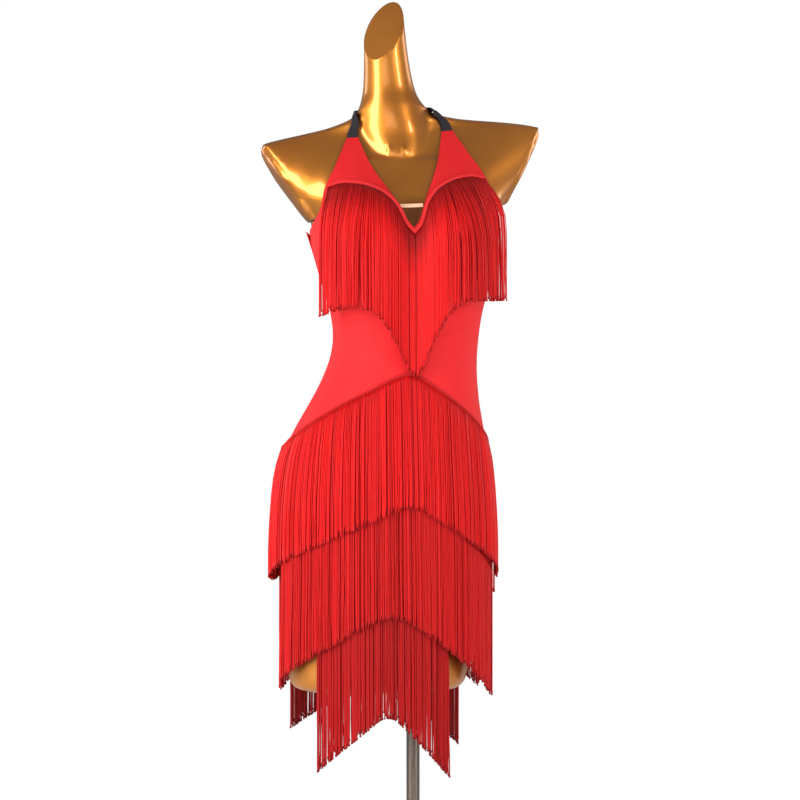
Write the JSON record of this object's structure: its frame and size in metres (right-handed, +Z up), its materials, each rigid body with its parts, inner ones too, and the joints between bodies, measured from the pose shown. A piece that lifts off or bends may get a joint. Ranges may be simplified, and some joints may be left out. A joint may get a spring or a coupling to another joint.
{
  "type": "latin dance dress on a dress form",
  "caption": "Sleeveless red halter dance dress with a deep V neck and tiers of hanging fringe, worn by a limbless gold dress form on a pole with a round base.",
  "frame": {"origin": "on the floor, at the centre of the round base's underside, under the pole", "axes": "+Z up, the front of the dress faces -Y, +X to the right seen from the front"},
  "size_m": [0.4637, 0.38, 1.6506],
  "materials": {
    "gold": "metallic gold lacquer over smooth fibreglass",
    "steel": "polished steel tube",
    "plate": "brushed steel plate",
    "red_stretch": "matte stretch knit, fine rib",
    "red_fringe": "twisted satin fringe yarn",
    "black_elastic": "woven elastic band",
    "flesh_elastic": "soft narrow elastic"
  },
  "bodies": {
    "root": {"form": "gold", "pole": "steel", "base": "plate", "front_bodice": "red_stretch", "back_bodice": "red_stretch", "front_skirt": "red_stretch", "back_skirt": "red_stretch", "neckband": "black_elastic", "plunge_bar": "flesh_elastic", "bust_fringe_left": "red_fringe", "bust_fringe_right": "red_fringe", "fringe_front_1": "red_fringe", "fringe_back_1": "red_fringe", "fringe_front_2": "red_fringe", "fringe_back_2": "red_fringe", "fringe_front_3": "red_fringe", "fringe_back_3": "red_fringe"}
  },
  "joints": []
}
